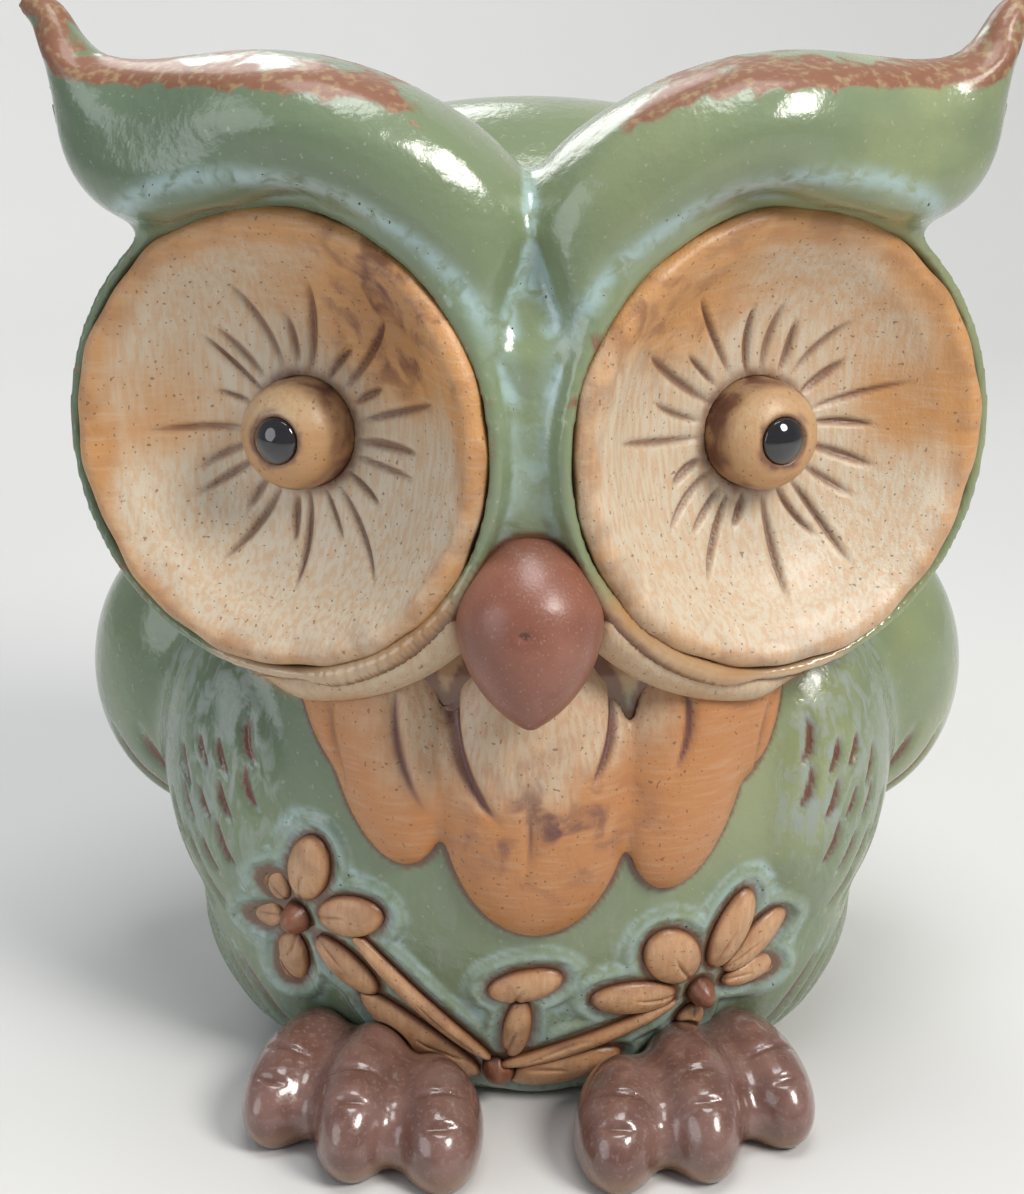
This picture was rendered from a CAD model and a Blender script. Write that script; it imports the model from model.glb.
import math

import bpy
import numpy as np
import openvdb
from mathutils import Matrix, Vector


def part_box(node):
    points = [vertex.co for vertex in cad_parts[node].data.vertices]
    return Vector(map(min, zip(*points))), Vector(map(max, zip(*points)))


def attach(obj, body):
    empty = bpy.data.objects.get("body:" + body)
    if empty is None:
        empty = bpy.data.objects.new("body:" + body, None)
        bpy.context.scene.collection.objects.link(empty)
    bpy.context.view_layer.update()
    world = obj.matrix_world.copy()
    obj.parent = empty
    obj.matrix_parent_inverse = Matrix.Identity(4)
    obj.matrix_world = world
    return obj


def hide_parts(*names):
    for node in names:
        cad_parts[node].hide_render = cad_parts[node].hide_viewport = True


# The looks of a glazed ceramic owl. Lengths are millimetres until a mesh is made. Every visible piece is
# sculpted from the frame's own solids: they are turned into distance fields, joined with a glaze-like
# fillet, meshed, carved, and cut apart again, one piece for each solid.

MM = 0.001
BAND = 8  # voxels of distance kept on each side of a surface
GAP_VOXEL = 0.8  # millimetres, for measuring how far points are from other solids
SMOOTHING = 0.6  # the share of a point's place that its neighbours give it in one round
UNSHRINKING = -0.61  # the share in the round after, which undoes most of the shrinking

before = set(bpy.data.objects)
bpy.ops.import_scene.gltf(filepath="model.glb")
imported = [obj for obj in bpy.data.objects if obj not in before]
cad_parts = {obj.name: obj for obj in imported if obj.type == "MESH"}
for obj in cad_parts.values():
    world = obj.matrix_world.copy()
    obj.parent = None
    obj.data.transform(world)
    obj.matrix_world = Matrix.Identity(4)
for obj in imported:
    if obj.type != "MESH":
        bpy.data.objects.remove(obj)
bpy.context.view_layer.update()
rng = np.random.default_rng(7)


# ---------------------------------------------------------------- distance fields


def cad_mesh(node):
    """A node's points in millimetres and its triangles."""
    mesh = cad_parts[node].data
    mesh.calc_loop_triangles()
    points = np.empty(len(mesh.vertices) * 3, np.float32)
    mesh.vertices.foreach_get("co", points)
    triangles = np.empty(len(mesh.loop_triangles) * 3, np.int32)
    mesh.loop_triangles.foreach_get("vertices", triangles)
    return points.reshape(-1, 3) / MM, triangles.reshape(-1, 3)


def distance_field(node, voxel):
    """Signed distances to a node's surface on a grid, and the grid's first index."""
    points, triangles = cad_mesh(node)
    return level_set(points, triangles, voxel=voxel)


def level_set(points, triangles=None, quads=None, voxel=1.0):
    """Signed distances to a closed mesh on a grid, and the grid's first index."""
    faces = {"triangles": triangles} if quads is None else {"quads": np.ascontiguousarray(quads, np.int32)}
    transform = openvdb.createLinearTransform(voxelSize=voxel)
    grid = openvdb.FloatGrid.createLevelSetFromPolygons(
        np.ascontiguousarray(points, np.float32), transform=transform, halfWidth=BAND, **faces
    )
    low = np.floor(points.min(axis=0) / voxel).astype(int) - BAND
    high = np.ceil(points.max(axis=0) / voxel).astype(int) + BAND
    distance = np.empty(tuple(high - low + 1), np.float32)
    grid.copyToArray(distance, ijk=tuple(int(index) for index in low))
    return distance, low


def window(low, start, shape):
    return tuple(slice(a - b, a - b + size) for a, b, size in zip(start, low, shape))


def soften_field(field, passes):
    for _ in range(passes):
        for axis in range(3):
            before = np.take(field, [0, *range(field.shape[axis] - 1)], axis=axis)
            after = np.take(field, [*range(1, field.shape[axis]), field.shape[axis] - 1], axis=axis)
            field = 0.5 * field + 0.25 * (before + after)
    return field


def blended(fields, voxel, fillet, passes):
    """One field for several solids, with concave joints filled to about a fillet's size."""
    low = np.min([start for _, start in fields.values()], axis=0)
    high = np.max([start + np.array(field.shape) for field, start in fields.values()], axis=0)
    far = voxel * BAND
    whole = np.full(tuple(high - low), far, np.float32)
    for field, start in fields.values():
        place = window(low, start, field.shape)
        here = whole[place]
        nearer = np.minimum(here, field)
        known = nearer < 0.9 * far
        fill = np.maximum(fillet - np.abs(here - field), 0) ** 2 / (4 * fillet)
        whole[place] = nearer - np.where(known, fill, 0)
    return soften_field(whole, passes), low


def meshed(field, low, voxel):
    """The surface where a field is zero: points in millimetres and quads that face outwards."""
    grid = openvdb.FloatGrid(voxel * BAND)
    grid.transform = openvdb.createLinearTransform(voxelSize=voxel)
    grid.copyFromArray(np.ascontiguousarray(field), ijk=tuple(int(index) for index in low))
    points, quads = grid.convertToQuads()
    a, b, c, d = (points[quads[:, corner]] for corner in range(4))
    volume = np.einsum("ij,ij->i", a, np.cross(b, c) + np.cross(c, d)).sum()
    if volume < 0:
        quads = quads[:, ::-1]
    return points.astype(np.float64), quads


def nearest_node(points, fields, voxel):
    """For each point, the number of the solid that it is nearest to."""
    best = np.full(len(points), np.inf)
    label = np.zeros(len(points), int)
    for number, (field, start) in enumerate(fields.values()):
        index = np.rint(points / voxel).astype(int) - start
        inside = np.all((index >= 0) & (index < field.shape), axis=1)
        value = np.full(len(points), np.inf)
        value[inside] = field[tuple(index[inside].T)]
        closer = value < best
        best[closer] = value[closer]
        label[closer] = number
    return label


# ---------------------------------------------------------------- surfaces


class Surface:
    """A mesh being sculpted: points in millimetres, quads, and named values at each point."""

    def __init__(self, points, quads):
        self.points = points
        self.quads = quads
        self.values = {}
        edges = np.concatenate([quads[:, [start, (start + 1) % 4]] for start in range(4)])
        self.pairs = np.unique(np.sort(edges, axis=1), axis=0)
        self.degree = np.bincount(self.pairs.ravel(), minlength=len(points)).astype(float)

    def mean_of_neighbours(self, amounts):
        a, b = self.pairs.T
        total = np.bincount(a, amounts[b], len(self.points)) + np.bincount(b, amounts[a], len(self.points))
        return total / np.maximum(self.degree, 1)

    def smoothed(self, amounts, rounds, share=SMOOTHING):
        for _ in range(rounds):
            amounts = (1 - share) * amounts + share * self.mean_of_neighbours(amounts)
        return amounts

    def relax(self, rounds):
        """Smooths the shape and undoes most of the shrinking that this brings."""
        for number in range(rounds * 2):
            share = SMOOTHING if number % 2 == 0 else UNSHRINKING
            self.points = np.stack([self.smoothed(axis, 1, share) for axis in self.points.T], axis=1)

    def normals(self):
        a, b, c, d = (self.points[self.quads[:, corner]] for corner in range(4))
        face = np.cross(c - a, d - b)
        total = np.zeros_like(self.points)
        for corner in range(4):
            for axis in range(3):
                total[:, axis] += np.bincount(self.quads[:, corner], face[:, axis], len(total))
        return total / np.maximum(np.linalg.norm(total, axis=1, keepdims=True), 1e-12)

    def raise_by(self, amounts):
        self.points = self.points + self.normals() * amounts[:, None]

    def bends(self, rounds):
        """How far the surface lies below its smoothed self: positive in hollows, negative on ridges."""
        soft = np.stack([self.smoothed(axis, rounds) for axis in self.points.T], axis=1)
        return np.einsum("ij,ij->i", soft - self.points, self.normals())


def strokes_on(across, upward, strokes):
    """How deep a set of carved strokes is at each point. A stroke is (path, half width, depth)."""
    depth = np.zeros(len(across))
    for path, half_width, deepest in strokes:
        path = np.asarray(path, float)
        reach = 3 * half_width  # a cut is as good as gone beyond this
        near = (
            (across > path[:, 0].min() - reach)
            & (across < path[:, 0].max() + reach)
            & (upward > path[:, 1].min() - reach)
            & (upward < path[:, 1].max() + reach)
        )
        if not near.any():
            continue
        spot = np.stack([across[near], upward[near]], axis=1)
        closest = np.full(len(spot), np.inf)
        along = np.zeros(len(spot))
        for number, (start, end) in enumerate(zip(path[:-1], path[1:])):
            step = end - start
            share = np.clip((spot - start) @ step / (step @ step), 0, 1)
            gap = np.linalg.norm(spot - start - share[:, None] * step, axis=1)
            nearer = gap < closest
            closest[nearer] = gap[nearer]
            along[nearer] = (number + share[nearer]) / (len(path) - 1)
        taper = np.sqrt(np.clip(np.sin(np.pi * np.clip(along, 0.02, 0.98)), 0, 1))
        cut = deepest * taper * np.exp(-((closest / (half_width * (0.5 + 0.5 * taper))) ** 2))
        depth[near] = np.maximum(depth[near], cut)
    return depth


def curve(start, bend, end, count=9):
    """Points on the curve from start to end that leans towards bend."""
    share = np.linspace(0, 1, count)[:, None]
    start, bend, end = np.array(start), np.array(bend), np.array(end)
    return (1 - share) ** 2 * start + 2 * share * (1 - share) * bend + share**2 * end


# ---------------------------------------------------------------- pieces


def make_piece(name, points, quads, values, normals, material, replaced):
    """A visible piece that stands in for the nodes it replaces."""
    mesh = bpy.data.meshes.new(name)
    mesh.from_pydata((points * MM).tolist(), [], quads.tolist())
    for key, amounts in values.items():
        layer = mesh.attributes.new(key, "FLOAT", "POINT")
        layer.data.foreach_set("value", np.asarray(amounts, np.float32))
    mesh.polygons.foreach_set("use_smooth", np.ones(len(quads), bool))
    mesh.normals_split_custom_set_from_vertices(normals.tolist())
    mesh.materials.append(material)
    piece = bpy.data.objects.new(name, mesh)
    bpy.context.scene.collection.objects.link(piece)
    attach(piece, "root")
    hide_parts(*replaced)
    return piece


def cut_apart(surface, nodes, label, material, suffix):
    """Makes one piece for each node out of the faces nearest to it."""
    normals = surface.normals()
    face_label = label[surface.quads[:, 0]]
    for number, node in enumerate(nodes):
        quads = surface.quads[face_label == number]
        used, renumbered = np.unique(quads, return_inverse=True)
        values = {key: amounts[used] for key, amounts in surface.values.items()}
        make_piece(
            f"{node}_{suffix}",
            surface.points[used],
            renumbered.reshape(-1, 4),
            values,
            normals[used],
            material,
            [node],
        )


def sculpt(nodes, voxel, fillet, passes, relax):
    fields = {node: distance_field(node, voxel) for node in nodes}
    field, low = blended(fields, voxel, fillet, passes)
    surface = Surface(*meshed(field, low, voxel))
    surface.relax(relax)
    return surface, nearest_node(surface.points, fields, voxel)


def sculpt_closed(node, voxel, reach, relax):
    """A node's surface with its clefts filled by a ball of radius reach."""
    field, low = distance_field(node, voxel)
    points, quads = meshed(field - reach, low, voxel)
    field, low = level_set(points, quads=quads, voxel=voxel)
    surface = Surface(*meshed(soften_field(field + reach, 1), low, voxel))
    surface.relax(relax)
    return surface, np.zeros(len(surface.points), int)


def field_at(points, field, low, voxel):
    """A field read between its grid's points, and the far distance outside it."""
    place = points / voxel - low
    base = np.floor(place).astype(int)
    share = place - base
    inside = np.all((base >= 0) & (base + 1 < field.shape), axis=1)
    base = base[inside]
    share = share[inside]
    total = np.zeros(len(base))
    for corner in np.ndindex(2, 2, 2):
        weight = np.prod(np.where(corner, share, 1 - share), axis=1)
        total += weight * field[tuple((base + corner).T)]
    value = np.full(len(points), voxel * BAND)
    value[inside] = total
    return value


def gap_to(points, nodes):
    """How far each point is from the nearest of some solids."""
    gap = np.full(len(points), GAP_VOXEL * BAND)
    for node in nodes:
        gap = np.minimum(gap, field_at(points, *distance_field(node, GAP_VOXEL), GAP_VOXEL))
    return gap


# ---------------------------------------------------------------- soft shapes


def step_up(amounts, low, high):
    """0 below low, 1 above high, and smooth between them."""
    share = np.clip((amounts - low) / (high - low), 0, 1)
    return share * share * (3 - 2 * share)


def bell(amounts, middle, width):
    """1 at the middle, falling to 0 on both sides of it."""
    return np.exp(-(((amounts - middle) / width) ** 2))


def oval(across, upward, middle, size):
    """1 at the middle of a soft oval patch, falling to 0 round it."""
    return bell(across, middle[0], size[0]) * bell(upward, middle[1], size[1])


# ---------------------------------------------------------------- materials


class Paint:
    """A material under construction, with short names for the nodes it needs."""

    def __init__(self, name, roughness, coat=0.0, coat_roughness=0.1):
        self.material = bpy.data.materials.new(name)
        self.material.use_nodes = True
        self.tree = self.material.node_tree
        self.shader = self.tree.nodes["Principled BSDF"]
        self.shader.inputs["Roughness"].default_value = roughness
        self.shader.inputs["Coat Weight"].default_value = coat
        self.shader.inputs["Coat Roughness"].default_value = coat_roughness
        self.place = self.tree.nodes.new("ShaderNodeTexCoord").outputs["Object"]

    def link(self, source, socket):
        if isinstance(source, (int, float)):
            socket.default_value = source
        elif isinstance(source, tuple):
            socket.default_value = (*source, 1.0)
        else:
            self.tree.links.new(source, socket)

    def value(self, name):
        node = self.tree.nodes.new("ShaderNodeAttribute")
        node.attribute_name = name
        return node.outputs["Fac"]

    def noise(self, size, detail=3.0, stretch=(1, 1, 1), distortion=0.0, shift=0.0):
        """Cloudy values from 0 to 1, with features about size millimetres across."""
        mapping = self.tree.nodes.new("ShaderNodeMapping")
        mapping.inputs["Scale"].default_value = [1 / part for part in stretch]
        mapping.inputs["Location"].default_value = (shift, shift, shift)
        node = self.tree.nodes.new("ShaderNodeTexNoise")
        node.inputs["Scale"].default_value = 1 / (size * MM)
        node.inputs["Detail"].default_value = detail
        node.inputs["Distortion"].default_value = distortion
        self.tree.links.new(self.place, mapping.inputs["Vector"])
        self.tree.links.new(mapping.outputs["Vector"], node.inputs["Vector"])
        return node.outputs["Fac"]

    def step(self, source, low, high):
        """Source moved from low..high to 0..1, with soft ends."""
        node = self.tree.nodes.new("ShaderNodeMapRange")
        node.interpolation_type = "SMOOTHSTEP"
        node.inputs["From Min"].default_value = low
        node.inputs["From Max"].default_value = high
        self.link(source, node.inputs["Value"])
        return node.outputs["Result"]

    def math(self, operation, a, b):
        node = self.tree.nodes.new("ShaderNodeMath")
        node.operation = operation
        self.link(a, node.inputs[0])
        self.link(b, node.inputs[1])
        return node.outputs["Value"]

    def mix(self, share, below, above):
        node = self.tree.nodes.new("ShaderNodeMix")
        node.data_type = "RGBA"
        self.link(share, node.inputs["Factor"])
        self.link(below, node.inputs["A"])
        self.link(above, node.inputs["B"])
        return node.outputs["Result"]

    def finish(self, colour, bump=None, height=0.0002, roughness=None):
        self.link(colour, self.shader.inputs["Base Color"])
        if roughness is not None:
            self.link(roughness, self.shader.inputs["Roughness"])
        if bump is not None:
            node = self.tree.nodes.new("ShaderNodeBump")
            node.inputs["Distance"].default_value = height
            node.inputs["Strength"].default_value = 1.0
            self.link(bump, node.inputs["Height"])
            self.tree.links.new(node.outputs["Normal"], self.shader.inputs["Normal"])
        return self.material


def sage_glaze():
    """Glossy sage glaze: it pools pale teal in hollows and breaks to brick brown on ridges."""
    shaded_sage, lit_sage, grey_sage = (0.130, 0.182, 0.112), (0.265, 0.300, 0.150), (0.180, 0.230, 0.130)
    pale_speck, teal, chalk_grey = (0.40, 0.43, 0.33), (0.335, 0.450, 0.430), (0.285, 0.330, 0.290)
    brick, ochre, dark_brown = (0.205, 0.082, 0.040), (0.30, 0.20, 0.10), (0.150, 0.052, 0.026)
    amber_clay, pale_clay, pinhole = (0.430, 0.240, 0.105), (0.520, 0.390, 0.250), (0.010, 0.012, 0.012)
    paint = Paint("sage_glaze_finish", roughness=0.36, coat=0.4, coat_roughness=0.18)
    cloud = paint.noise(38, detail=4.0)
    base = paint.mix(paint.value("side"), shaded_sage, lit_sage)
    base = paint.mix(paint.step(cloud, 0.40, 0.66), base, grey_sage)
    speck = paint.step(paint.noise(1.1, detail=2.0), 0.66, 0.74)
    base = paint.mix(paint.math("MULTIPLY", speck, 0.35), base, pale_speck)
    mottle = paint.noise(3.2, detail=6.0, distortion=0.6)
    pooled = paint.math("MULTIPLY", paint.value("pool"), paint.step(mottle, 0.25, 0.60))
    base = paint.mix(pooled, base, teal)
    streaks = paint.noise(2.4, detail=8.0, stretch=(1, 1, 3.2), distortion=0.8, shift=3.0)
    chalk = paint.math("MULTIPLY", paint.value("chalk"), paint.step(streaks, 0.40, 0.68))
    base = paint.mix(chalk, base, chalk_grey)
    broken = paint.noise(7.0, detail=8.0, distortion=0.8, shift=1.0)
    rust = paint.step(paint.math("ADD", broken, paint.value("rust")), 0.86, 1.04)
    base = paint.mix(rust, base, brick)
    fine = paint.step(paint.noise(1.6, detail=5.0, shift=2.0), 0.46, 0.70)
    base = paint.mix(paint.math("MULTIPLY", rust, fine), base, ochre)
    clay = paint.mix(paint.step(cloud, 0.35, 0.65), amber_clay, pale_clay)
    base = paint.mix(paint.value("clay"), base, clay)
    base = paint.mix(paint.value("stain"), base, dark_brown)
    pin = paint.step(paint.noise(0.9, detail=1.0, shift=5.0), 0.735, 0.765)
    pin = paint.math("MULTIPLY", pin, paint.step(paint.value("pool"), 0.35, 0.8))
    base = paint.mix(pin, base, pinhole)
    orange_peel = paint.noise(2.4, detail=3.0, shift=4.0)
    relief = paint.math("SUBTRACT", orange_peel, pin)
    rough = paint.step(paint.math("ADD", rust, chalk), -0.9, 2.4)
    return paint.finish(base, relief, 0.00022, rough)


def wash(name, pale, amber, dark, roughness, gloss):
    """A brushed iron wash over bare clay: amber where it is thick, pale where it was wiped."""
    speckle = (0.10, 0.05, 0.03)
    paint = Paint(name, roughness=roughness, coat=gloss, coat_roughness=0.3)
    cloud = paint.noise(16, detail=5.0, distortion=0.5)
    thick = paint.step(paint.math("ADD", paint.value("amber"), cloud), 0.58, 1.18)
    base = paint.mix(thick, pale, amber)
    bristle = paint.noise(0.9, detail=3.0, stretch=(1, 1, 7))
    cross = paint.noise(0.8, detail=3.0, stretch=(8, 8, 1), shift=2.0)
    marks = paint.math("MULTIPLY", paint.step(bristle, 0.38, 0.66), 0.45)
    base = paint.mix(marks, base, amber)
    marks = paint.math("MULTIPLY", paint.step(cross, 0.45, 0.75), 0.22)
    base = paint.mix(marks, base, pale)
    blot = paint.step(paint.noise(6, detail=10.0, distortion=0.5, shift=6.0), 0.42, 0.66)
    base = paint.mix(paint.math("MULTIPLY", blot, paint.value("blot")), base, dark)
    base = paint.mix(paint.value("stain"), base, dark)
    grain = paint.noise(0.55, detail=4.0, shift=7.0)
    speck = paint.step(paint.noise(0.7, detail=0.0, shift=8.0), 0.76, 0.79)
    base = paint.mix(paint.math("MULTIPLY", speck, 0.6), base, speckle)
    relief = paint.math("ADD", paint.math("MULTIPLY", bristle, 0.8), grain)
    return paint.finish(base, relief, 0.00012)


def beak_brown():
    """Reddish brown slip with a soft sheen and fine dusty specks."""
    thick_slip, thin_slip = (0.200, 0.070, 0.042), (0.265, 0.105, 0.068)
    dark_brown, dusty_pink = (0.075, 0.026, 0.015), (0.42, 0.27, 0.24)
    paint = Paint("beak_brown_finish", roughness=0.38, coat=0.25, coat_roughness=0.25)
    cloud = paint.noise(9, detail=5.0)
    base = paint.mix(paint.step(cloud, 0.3, 0.7), thick_slip, thin_slip)
    base = paint.mix(paint.value("stain"), base, dark_brown)
    dust = paint.step(paint.noise(0.5, detail=2.0, shift=1.0), 0.62, 0.72)
    base = paint.mix(paint.math("MULTIPLY", dust, 0.4), base, dusty_pink)
    return paint.finish(base, paint.noise(0.6, detail=3.0), 0.00008)


def pupil_black():
    """Glossy black, very faintly clouded."""
    black, soft_black = (0.006, 0.006, 0.008), (0.016, 0.015, 0.018)
    paint = Paint("pupil_black_finish", roughness=0.08, coat=1.0, coat_roughness=0.03)
    cloud = paint.noise(1.5, detail=2.0)
    return paint.finish(paint.mix(cloud, black, soft_black))


def foot_umber():
    """Glossy mauve-brown glaze that runs gold-brown low down and teal in the creases."""
    umber, mauve, pale_mauve = (0.135, 0.062, 0.047), (0.200, 0.108, 0.088), (0.30, 0.21, 0.18)
    gold_brown, teal, dark_brown = (0.230, 0.110, 0.040), (0.330, 0.385, 0.360), (0.090, 0.035, 0.022)
    paint = Paint("foot_umber_finish", roughness=0.26, coat=0.7, coat_roughness=0.1)
    cloud = paint.noise(7, detail=6.0)
    base = paint.mix(paint.step(cloud, 0.35, 0.65), umber, mauve)
    speck = paint.step(paint.noise(0.9, detail=3.0), 0.56, 0.66)
    base = paint.mix(paint.math("MULTIPLY", speck, 0.3), base, pale_mauve)
    base = paint.mix(paint.value("amber"), base, gold_brown)
    base = paint.mix(paint.value("pool"), base, teal)
    base = paint.mix(paint.value("stain"), base, dark_brown)
    return paint.finish(base, paint.noise(2.0, detail=3.0), 0.00015)


# ---------------------------------------------------------------- places on the owl

SIDES = (("left", 1), ("right", -1))
GIRTH = 64.0  # millimetres round the body for one radian
EYE_CENTRE = (44.0, -57.0, 130.0)
EYE_YAW = math.radians(25)
EYE_PITCH = math.radians(5)


def eye_axes(sign):
    """An eye's centre, and its directions across, up and out along its gaze."""
    level = np.array([sign * math.sin(EYE_YAW), -math.cos(EYE_YAW), 0])
    gaze = level * math.cos(EYE_PITCH) + np.array([0, 0, math.sin(EYE_PITCH)])
    across = np.cross([0, 0, 1], level)
    return np.array(EYE_CENTRE) * (sign, 1, 1), across, np.cross(gaze, across), gaze


def seen_from_eye(points, sign):
    """How far each point is from an eye's centre: across, up and out along its gaze."""
    centre, across, up, gaze = eye_axes(sign)
    offset = points - centre
    return offset @ across, offset @ up, offset @ gaze


def around(points):
    """Places round the body in millimetres: towards the owl's left from the front, and up."""
    return GIRTH * np.arctan2(points[:, 0], -points[:, 1]), points[:, 2]


# ---------------------------------------------------------------- what is green

GREEN_WORDS = ("ear_brow", "eye_cup", "wing", "mantle", "haunch")
GREEN = ["body_shell", "nose_bridge", "tail"]
GREEN += [f"{side}_{word}" for side, _ in SIDES for word in GREEN_WORDS]
BIB = [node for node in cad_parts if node.startswith("bib_feather")]
PETALS = [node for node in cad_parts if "_petal_" in node]
SPRIG = [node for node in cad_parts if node.startswith("sprig_")]
BOSSES = [f"{side}_flower_centre" for side, _ in SIDES]

CLAY_RISE = 2.6  # how far the bare clay behind the beak is built out
HALO_RISE = 0.9  # the glaze piled up round the flowers
BROW_EDGE_RISE = 0.9
BROW_HOLLOW = 1.5
CUP_FOOT_RADIUS = 45.0
CUP_RINGS_FROM = 108.0  # no pooled ring below this height
FEATHERS_BACK = 20.0  # the slits end here, behind the middle of the body
FEATHERS_TOP = 84.0
MANTLE_ROWS = (  # across, count, spacing, height of the top, length
    (49, 5, 4.2, 78, 8.0),
    (52, 6, 4.4, 67, 8.5),
    (57, 6, 4.2, 55, 9.5),
    (63, 5, 4.6, 43, 9.5),
    (70, 4, 4.6, 32, 8.0),
)


def mantle_slits():
    """Short slits that hang in uneven rows."""
    paths = []
    for row, (start, count, spacing, top, length) in enumerate(MANTLE_ROWS):
        for number in range(count):
            across = start + number * spacing
            high = top - 2.6 * number + 1.2 * math.sin(2.3 * number + row)
            low = high - length - 1.4 * math.sin(1.7 * number + row)
            paths.append(curve((across, high), (across - 0.4, low + 3), (across - 3.2, low)))
    return paths


def wing_slits():
    """Longer slits that swing down and forwards."""
    paths = []
    for number in range(5):
        across = 84 + number * 6.5
        start = (across, 62 - 3.5 * number)
        bend = (across + 1, 48 - 3 * number)
        end = (across - 7, 38 - 1.5 * number)
        paths.append(curve(start, bend, end))
    return paths


def haunch_ribs():
    """Ribs that rise and lean outwards."""
    paths = []
    for number in range(7):
        across = 53 + number * 5
        start = (across, 3 + number)
        bend = (across + 1, 16 + number)
        end = (across + 9, 27 + 0.5 * number)
        paths.append(curve(start, bend, end))
    return paths


def carved_feathers(points):
    """How deep the slits and ribs of both sides are at each point."""
    across, upward = around(points)
    reached = (points[:, 1] < FEATHERS_BACK) & (points[:, 2] < FEATHERS_TOP)
    carved = np.zeros(len(points))
    for _, sign in SIDES:
        strokes = []
        for paths, half_width, deepest in (
            (mantle_slits(), 0.8, 1.2),
            (wing_slits(), 1.2, 1.3),
            (haunch_ribs(), 1.1, 0.9),
        ):
            strokes += [(path * (sign, 1), half_width, deepest) for path in paths]
        cut = strokes_on(across, upward, strokes)
        carved = np.maximum(carved, np.where(reached, cut, 0))
    return carved


def brow_ridge(sign):
    """The edge between a brow's broad face and its bevelled top, seen from the front, as (across, height)."""
    inner = curve((1, 166), (13, 188), (34, 190.5))
    outer = curve((34, 190.5), (58, 189.5), (74, 189))[1:]
    tip = curve((74, 189), (80, 190.5), (86, 200))[1:]
    return np.concatenate([inner, outer, tip]) * (sign, 1)


def brow_shapes(points):
    """Where the brows' edges and the hollows below them run, from 0 to 1."""
    across, height = points[:, 0], points[:, 2]
    ridge = np.zeros(len(points))
    hollow = np.zeros(len(points))
    for _, sign in SIDES:
        edge = brow_ridge(sign)
        below = edge - (0, 9.5)
        ridge = np.maximum(ridge, strokes_on(across, height, [(edge, 2.0, 1.0)]))
        hollow = np.maximum(hollow, strokes_on(across, height, [(below, 6.0, 1.0)]))
    return ridge, hollow


def bare_breast(points):
    """Where the casting is bare clay behind the beak, above the breast feathers."""
    across, upward = around(points)
    in_front = points[:, 1] < -30
    patch = step_up(-np.abs(across), -38, -31) * step_up(upward, 82, 89) * step_up(-upward, -116, -106)
    for _, sign in SIDES:
        side_on, up, _ = seen_from_eye(points, sign)
        patch = patch * step_up(np.hypot(side_on, up), 38, 45)
    return patch * in_front


def bare_lip(points):
    """Where the lower inner edge of a cup is bare clay, between its dish and its ruff."""
    lip = np.zeros(len(points))
    for _, sign in SIDES:
        side_on, up, out = seen_from_eye(points, sign)
        radius = np.hypot(side_on, up)
        below = step_up(-up, 18, 26) * step_up(-side_on * sign, -16, -8)
        here = below * step_up(-radius, -50, -47) * step_up(out, -16, -12)
        lip = np.maximum(lip, here * (radius > 36))
    return lip


def cup_rings(points):
    """Where glaze pools round the foot of each cup, above its lower part."""
    rings = np.zeros(len(points))
    for _, sign in SIDES:
        centre, _, _, gaze = eye_axes(sign)
        offset = points - centre
        depth = offset @ gaze
        radius = np.linalg.norm(offset - depth[:, None] * gaze, axis=1)
        ring = bell(radius, CUP_FOOT_RADIUS, 1.7) * step_up(depth, -9, -2)
        rings = np.maximum(rings, ring * (points[:, 2] > CUP_RINGS_FROM))
    return rings


def share_of(surface, label, words, rounds):
    """How far each point belongs to some kinds of piece at the sides: 0 to 1, with soft ends."""
    numbers = [GREEN.index(f"{side}_{word}") for side, _ in SIDES for word in words]
    return surface.smoothed(np.isin(label, numbers).astype(float), rounds)


def glaze_values(surface, flowers, brow, ridge, mantle):
    """How the glaze lies at each point: its shade, and where it pools, turns chalky or breaks to rust."""
    bend = surface.bends(10)
    wide = surface.bends(60)
    facing_up = surface.normals()[:, 2]
    x, z = surface.points[:, 0], surface.points[:, 2]
    pool = step_up(bend, 0.05, 0.20) + step_up(wide, 0.8, 2.2) * 0.5
    pool = np.maximum(pool, cup_rings(surface.points)) + 0.7 * bell(flowers, 2.0, 1.3)
    chalk = mantle * step_up(z, 40, 62) + 0.25 * step_up(70 - z, 0, 40)
    crest = step_up(-wide, 0.5, 1.6)
    top = step_up(facing_up, 0.25, 0.85) * step_up(z, 176, 190)
    tips = step_up(np.abs(x), 62, 84) * step_up(z, 170, 190)
    rust = brow * (0.36 * top + 0.28 * tips + 0.34 * ridge * step_up(z, 172, 186))
    return {
        "side": step_up(x, -60, 60),
        "pool": np.clip(pool, 0, 1),
        "chalk": np.clip(chalk, 0, 1),
        "rust": rust + 0.20 * crest + 0.10 * step_up(-bend, 0.05, 0.2),
    }


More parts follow.
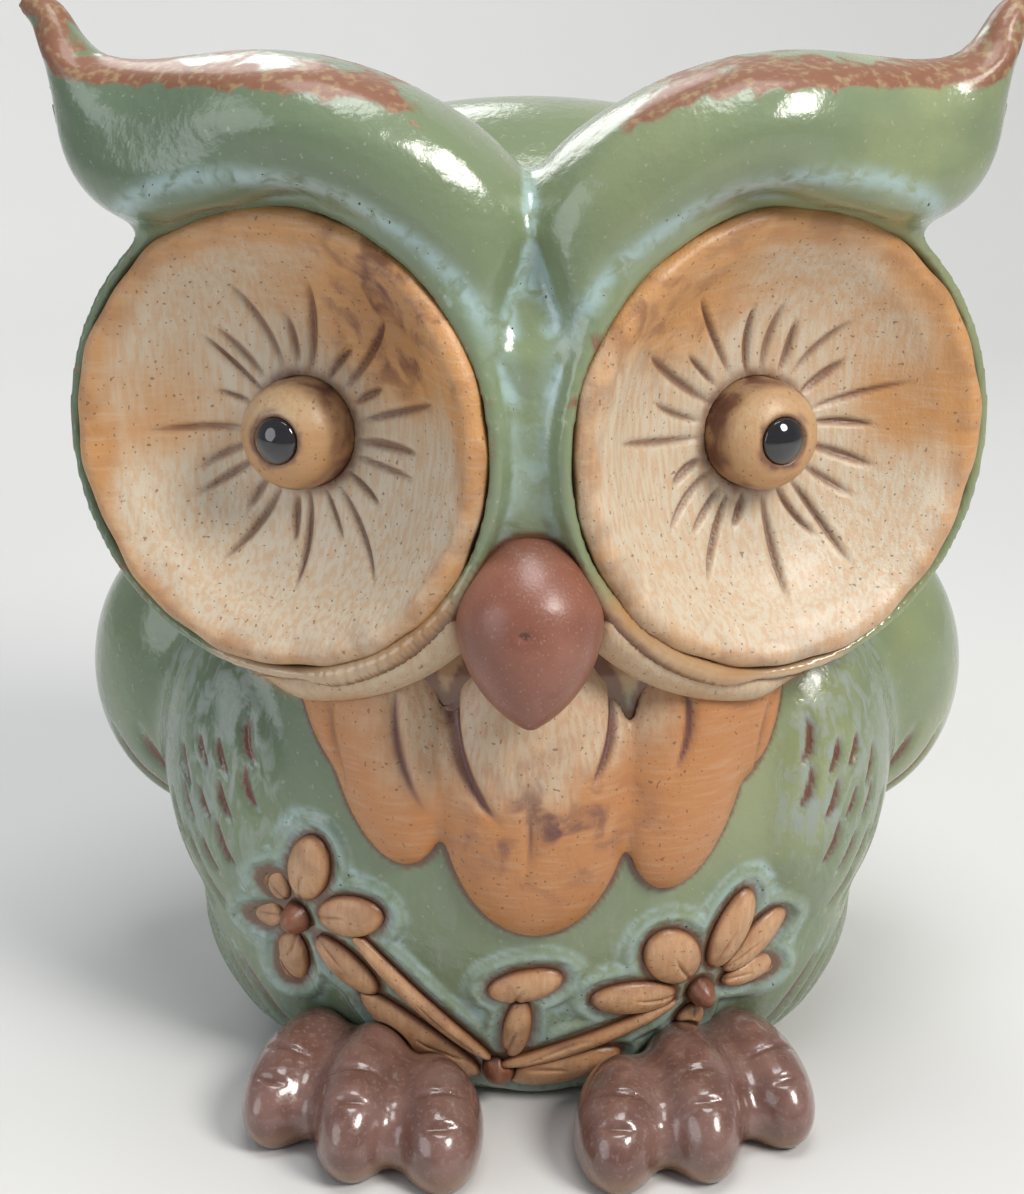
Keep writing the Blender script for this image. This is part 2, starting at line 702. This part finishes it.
def make_green():
    surface, label = sculpt(GREEN, voxel=0.8, fillet=5.0, passes=2, relax=12)
    points = surface.points
    ornaments = PETALS + SPRIG + BOSSES
    beside = gap_to(points, BIB + ornaments + ["beak", "left_ruff", "right_ruff"])
    flowers = gap_to(points, ornaments)
    carved = carved_feathers(points) * share_of(surface, label, ("mantle", "wing", "haunch"), 4)
    brow = share_of(surface, label, ("ear_brow",), 6)
    mantle = share_of(surface, label, ("mantle",), 8)
    face = surface.normals()[:, 1] < 0.1
    ridge, hollow = brow_shapes(points)
    ridge = ridge * brow * face
    hollow = hollow * brow * face
    clay = bare_breast(points)
    built_out = CLAY_RISE * clay + HALO_RISE * bell(flowers, 2.3, 1.1) + BROW_EDGE_RISE * ridge
    surface.raise_by(built_out - carved - BROW_HOLLOW * hollow)
    surface.values = glaze_values(surface, flowers, brow, ridge, mantle)
    surface.values["clay"] = np.maximum(clay, bare_lip(surface.points))
    outline = step_up(-beside, -1.0, -0.45)
    surface.values["stain"] = np.clip(0.85 * outline + step_up(carved, 0.35, 0.9), 0, 1)
    cut_apart(surface, GREEN, label, sage_glaze(), "glazed")


# ---------------------------------------------------------------- eyes

RAYS = 22


def carved_rays():
    """Uneven tapering rays pressed outwards from the eyeball, long and short in turn."""
    strokes = []
    for number in range(RAYS):
        turn = 2 * math.pi * (number + rng.uniform(-0.2, 0.2)) / RAYS
        begin = rng.uniform(10.2, 11.6)
        end = begin + (rng.uniform(12.0, 19.0) if number % 2 else rng.uniform(6.0, 13.0))
        lean = turn + rng.uniform(-0.12, 0.12)
        near = np.array([math.cos(turn), math.sin(turn)])
        far = np.array([math.cos(lean), math.sin(lean)])
        half_width = rng.uniform(0.5, 0.8)
        path = curve(begin * near, 0.5 * (begin + end) * near, end * far)
        strokes.append((path, half_width, rng.uniform(0.9, 1.4)))
    return strokes


def make_dish(side, sign, finish):
    node = f"{side}_eye_dish"
    surface, label = sculpt([node], voxel=0.5, fillet=0.5, passes=1, relax=3)
    across, up, out = seen_from_eye(surface.points, sign)
    gaze = eye_axes(sign)[3]
    radius = np.hypot(across, up)
    clock = np.arctan2(up, across)
    front = surface.normals() @ gaze > 0.15
    carved = np.where(front, strokes_on(across, up, carved_rays()), 0)
    wobble = 0.28 * np.sin(5 * clock + sign) + 0.2 * np.sin(11 * clock + 2) + 0.12 * np.sin(23 * clock)
    surface.raise_by(wobble * step_up(radius, 30, 39) - carved)
    rim = step_up(radius, 31, 38)
    seat = bell(radius, 10.4, 1.0)
    edge = step_up(-out, 1.6, 3.2) * step_up(radius, 38.0, 39.4)
    upper = step_up(up + 0.3 * across, -6, 30)
    strength = 1.3 if sign < 0 else 0.45
    shade = strength * oval(across, up, (-19 * sign, 22), (12, 11))
    side_wash = oval(across, up, (27 * sign, -2), (12, 15))
    pale = 0.6 * step_up(-up, 0, 22) * (1 - rim)
    amber = 0.45 * rim + 0.3 * upper + 0.6 * side_wash + 0.8 * shade - pale
    darkest = shade * step_up(shade, 0.4, 0.9)
    stain = 0.75 * step_up(carved, 0.1, 0.9) + 0.5 * seat + 0.85 * edge + 0.3 * darkest
    surface.values["amber"] = np.clip(amber, 0, 1)
    surface.values["blot"] = np.clip(1.2 * shade + 0.3 * rim + 0.4 * seat, 0, 1)
    surface.values["stain"] = np.clip(stain, 0, 1)
    cut_apart(surface, [node], label, finish, "carved")


def make_eyeball(side, sign, finish):
    node = f"{side}_eyeball"
    surface, label = sculpt([node], voxel=0.35, fillet=0.4, passes=2, relax=4)
    across, up, _ = seen_from_eye(surface.points, sign)
    radius = np.hypot(across, up)
    rim = step_up(radius, 8.2, 9.6)
    surface.values["amber"] = 0.25 + 0.5 * step_up(-up, -8, 8)
    surface.values["blot"] = np.clip(rim + bell(radius, 4.8, 0.7), 0, 1)
    surface.values["stain"] = 0.75 * bell(radius, 4.4, 0.35) + 0.4 * rim
    cut_apart(surface, [node], label, finish, "domed")


def make_pupil(side, finish):
    node = f"{side}_pupil"
    surface, label = sculpt([node], voxel=0.25, fillet=0.4, passes=1, relax=4)
    cut_apart(surface, [node], label, finish, "bead")


def make_eyes():
    dish_colours = ((0.600, 0.510, 0.385), (0.540, 0.270, 0.100), (0.160, 0.055, 0.028))
    ball_colours = ((0.560, 0.400, 0.235), (0.480, 0.260, 0.110), (0.130, 0.048, 0.027))
    dish = wash("dish_finish", *dish_colours, roughness=0.46, gloss=0.15)
    ball = wash("eyeball_finish", *ball_colours, roughness=0.44, gloss=0.2)
    black = pupil_black()
    for side, sign in SIDES:
        make_dish(side, sign, dish)
        make_eyeball(side, sign, ball)
        make_pupil(side, black)


# ---------------------------------------------------------------- beak, breast, flowers and feet


def make_beak():
    surface, label = sculpt(["beak"], voxel=0.5, fillet=0.5, passes=2, relax=6)
    x, y, z = surface.points.T
    low, high = (np.array(corner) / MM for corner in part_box("beak"))
    bottom, top = low[2], high[2]
    middle = (bottom + top) / 2
    pit = 0.5 * np.exp(-((x + 1.0) ** 2 + (z - middle - 3) ** 2) / 0.9)
    scrape = curve((1.4, bottom + 8), (1.6, bottom + 6), (1.8, bottom + 4))
    carved = pit + strokes_on(x, z, [(scrape, 0.5, 0.25)])
    surface.raise_by(-np.where(y < -70, carved, 0))
    stain = 0.4 * step_up(z, top - 4.5, top - 1) + 0.8 * (pit > 0.25)
    surface.values["stain"] = np.clip(stain, 0, 1)
    cut_apart(surface, ["beak"], label, beak_brown(), "smooth")


def breast_grooves():
    """Curved grooves that part the small feathers at the top of the breast."""
    return [
        (curve((-14, 93), (-16, 76), (-5, 65)), 1.5, 2.0),
        (curve((15, 91), (17, 80), (10, 71)), 1.2, 1.7),
        (curve((-23, 90), (-24, 76), (-16, 63)), 1.3, 1.2),
        (curve((27, 89), (29, 80), (24, 72)), 1.1, 1.3),
        (curve((-0.5, 70), (1.0, 63), (-0.5, 55)), 1.0, 0.9),
        (curve((-35, 87), (-36, 77), (-32, 68)), 1.1, 0.9),
        (curve((46, 84), (41, 76), (42, 67)), 1.1, 0.9),
    ]


def make_breast():
    colours = ((0.570, 0.430, 0.290), (0.470, 0.200, 0.068), (0.150, 0.058, 0.045))
    surface, label = sculpt(BIB, voxel=0.55, fillet=1.4, passes=2, relax=8)
    across, upward = around(surface.points)
    carved = strokes_on(across, upward, breast_grooves())
    rise = gap_to(surface.points, ["body_shell"])
    surface.raise_by(-np.where(rise > 0.6, carved, 0))
    bend = surface.bends(12)
    z = surface.points[:, 2]
    pale = oval(across, z, (0, 86), (30, 17))
    edge = step_up(-rise, -0.9, -0.3)
    stain = 0.75 * step_up(carved, 0.5, 1.2) + 0.55 * step_up(bend, 0.10, 0.45) + 0.45 * edge
    surface.values["amber"] = np.clip(0.8 - 1.1 * pale + 0.3 * step_up(across, 0, 40), 0, 1)
    surface.values["blot"] = oval(across, z, (4, 64), (15, 11))
    surface.values["stain"] = np.clip(stain, 0, 1)
    finish = wash("breast_finish", *colours, roughness=0.42, gloss=0.25)
    cut_apart(surface, BIB, label, finish, "brushed")


def make_ruffs():
    """Thin crescents that sink back under the beak and the lower edge of each cup."""
    colours = ((0.560, 0.440, 0.300), (0.500, 0.280, 0.130), (0.150, 0.060, 0.040))
    finish = wash("ruff_finish", *colours, roughness=0.44, gloss=0.2)
    for side, sign in SIDES:
        node = f"{side}_ruff"
        surface, label = sculpt([node], voxel=0.5, fillet=0.5, passes=4, relax=14)
        across, up, _ = seen_from_eye(surface.points, sign)
        clock = np.degrees(np.arctan2(up, across * sign))
        taper = step_up(clock, -96, -82)
        surface.raise_by(surface.smoothed(0.9 - 2.6 * taper, 10))
        surface.values["amber"] = 0.2 + 0.5 * taper
        surface.values["blot"] = np.zeros(len(clock))
        surface.values["stain"] = np.zeros(len(clock))
        cut_apart(surface, [node], label, finish, "brushed")


def middle_of(node):
    low, high = (np.array(corner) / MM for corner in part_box(node))
    return (low + high) / 2


def unrolled(spot):
    """One place round the body, in millimetres."""
    across, upward = around(spot[None])
    return np.array([across[0], upward[0]])


def crease_along(node, root):
    """A crease from near a petal's or leaf's root towards its tip."""
    start = unrolled(root)
    middle = unrolled(middle_of(node))
    reach = middle - start
    bend = np.array([-reach[1], reach[0]]) * 0.08
    return (curve(start + 0.35 * reach, start + 0.7 * reach + bend, middle), 0.45, 0.45)


def root_of(node):
    """The middle of the flower that a petal belongs to, or of the knot for the rest of the sprig."""
    if "_petal" in node:
        return middle_of(f"{node[:node.index('_petal')]}_centre")
    return middle_of("sprig_knot")


def make_flowers():
    petal_colours = ((0.560, 0.330, 0.175), (0.430, 0.195, 0.080), (0.110, 0.038, 0.018))
    boss_colours = ((0.240, 0.090, 0.045), (0.190, 0.065, 0.030), (0.070, 0.022, 0.012))
    peach = wash("petal_finish", *petal_colours, roughness=0.40, gloss=0.3)
    russet = wash("boss_finish", *boss_colours, roughness=0.38, gloss=0.3)
    for node in PETALS + SPRIG + BOSSES:
        round_one = node in BOSSES or node == "sprig_knot"
        surface, label = sculpt([node], voxel=0.32, fillet=0.4, passes=2, relax=5)
        rise = gap_to(surface.points, ["body_shell"])
        lowered = np.zeros(len(rise))
        carved = np.zeros(len(rise))
        if not round_one:
            lowered = 0.45 * np.maximum(rise - 1.3, 0)
            across, upward = around(surface.points)
            carved = strokes_on(across, upward, [crease_along(node, root_of(node))])
        surface.raise_by(-np.where(rise > 0.5, carved, 0) - lowered)
        outline = step_up(-rise, -1.5, -0.5)
        surface.values["amber"] = 0.15 + 0.6 * step_up(-rise, -2.0, -0.6)
        surface.values["blot"] = np.full(len(rise), 0.3)
        surface.values["stain"] = np.clip(0.8 * outline + 0.8 * step_up(carved, 0.2, 0.6), 0, 1)
        finish, slot = (russet, "flower_russet") if round_one else (peach, "flower_peach")
        cut_apart(surface, [node], label, finish, "pressed")


TOES = ((16.8, 70.5, -6), (30, 66, 8), (42, 57, 22))  # across, forward, degrees turned outwards
CREASES = ((13.0, 3.0), (6.0, 5.0))  # ahead of the toe's middle, half width


def toe_creases(sign):
    """Shallow creases across each toe, seen from above."""
    creases = []
    for across, forward, outwards in TOES:
        turn = math.radians(outwards)
        ahead = np.array([math.sin(turn), -math.cos(turn)])
        square = np.array([math.cos(turn), math.sin(turn)])
        for reach, half_width in CREASES:
            middle = np.array([across, -forward]) + ahead * reach
            path = curve(middle - square * half_width, middle + ahead * 1.4, middle + square * half_width)
            creases.append((path * (sign, 1), 0.7, 0.7))
    return creases


def make_feet():
    finish = foot_umber()
    for side, sign in SIDES:
        node = f"{side}_foot"
        surface, label = sculpt_closed(node, voxel=0.6, reach=3.0, relax=8)
        x, y, z = surface.points.T
        upper = surface.normals()[:, 2] > 0
        carved = np.where(upper, strokes_on(x, y, toe_creases(sign)), 0)
        surface.raise_by(-carved)
        bend = surface.bends(16)
        stain = 0.5 * step_up(carved, 0.2, 0.6) + 0.7 * step_up(-z, -1.2, -0.2)
        surface.values["pool"] = 0.8 * step_up(bend, 0.3, 0.9) * step_up(z, 4, 12)
        surface.values["amber"] = 0.8 * step_up(-z, -7, -2)
        surface.values["stain"] = np.clip(stain, 0, 1)
        cut_apart(surface, [node], label, finish, "glazed")


# ---------------------------------------------------------------- stage, lights and camera


def make_stage():
    """A pale floor that curves up into a wall behind the owl."""
    pale_grey, lighter_grey = (0.60, 0.60, 0.59), (0.66, 0.66, 0.65)
    mesh = bpy.data.meshes.new("floor")
    half, back, high, bend = 1.5, 0.9, 1.6, 0.35  # metres
    steps = 12
    profile = [(-half, 0.0)]
    for number in range(steps + 1):
        turn = 0.5 * math.pi * number / steps
        profile.append((back - bend + bend * math.sin(turn), bend - bend * math.cos(turn)))
    profile.append((back, high))
    points = [(side * half, y, z) for y, z in profile for side in (-1, 1)]
    faces = [(2 * n, 2 * n + 1, 2 * n + 3, 2 * n + 2) for n in range(len(profile) - 1)]
    mesh.from_pydata(points, [], faces)
    mesh.polygons.foreach_set("use_smooth", [True] * len(faces))
    paint = Paint("floor_finish", roughness=0.75)
    cloud = paint.noise(180, detail=2.0)
    mesh.materials.append(paint.finish(paint.mix(cloud, pale_grey, lighter_grey)))
    floor = bpy.data.objects.new("floor", mesh)
    bpy.context.scene.collection.objects.link(floor)


def add_light(name, place, size, power, colour=(1, 1, 1)):
    light = bpy.data.lights.new(name, "AREA")
    light.shape = "DISK"
    light.size = size
    light.energy = power
    light.color = colour
    lamp = bpy.data.objects.new(name, light)
    lamp.location = place
    target = Vector((0, 0, 0.1))
    lamp.rotation_euler = (target - Vector(place)).to_track_quat("-Z", "Y").to_euler()
    bpy.context.scene.collection.objects.link(lamp)


def make_lights():
    add_light("key", (0.60, -0.55, 0.80), 0.40, 9.0, (1.0, 0.97, 0.92))
    add_light("fill", (-0.85, -0.55, 0.40), 0.7, 2.6, (0.90, 0.95, 1.0))
    add_light("top", (0.05, -0.10, 1.0), 0.5, 4.5)
    add_light("back", (-0.3, 0.8, 0.6), 0.6, 3.0)
    world = bpy.data.worlds.new("studio")
    world.use_nodes = True
    background = world.node_tree.nodes["Background"]
    background.inputs["Color"].default_value = (0.9, 0.93, 1.0, 1.0)
    background.inputs["Strength"].default_value = 0.30
    bpy.context.scene.world = world
    bpy.context.scene.view_settings.view_transform = "Standard"


def make_camera():
    """Looks down a little at the face, from near enough for a strong perspective."""
    target = Vector((-3.0, -10.3, 85.0)) * MM
    elevation = math.radians(20.4)
    distance = 436.6 * MM
    back = Vector((0, -math.cos(elevation), math.sin(elevation)))
    data = bpy.data.cameras.new("camera")
    data.sensor_fit = "VERTICAL"
    data.sensor_height = 36.0
    data.lens = 67.5
    data.clip_start = 0.01
    camera = bpy.data.objects.new("camera", data)
    camera.location = target + back * distance
    camera.rotation_euler = (-back).to_track_quat("-Z", "Y").to_euler()
    bpy.context.scene.collection.objects.link(camera)
    bpy.context.scene.camera = camera


make_green()
make_eyes()
make_beak()
make_breast()
make_ruffs()
make_flowers()
make_feet()
make_stage()
make_lights()
make_camera()
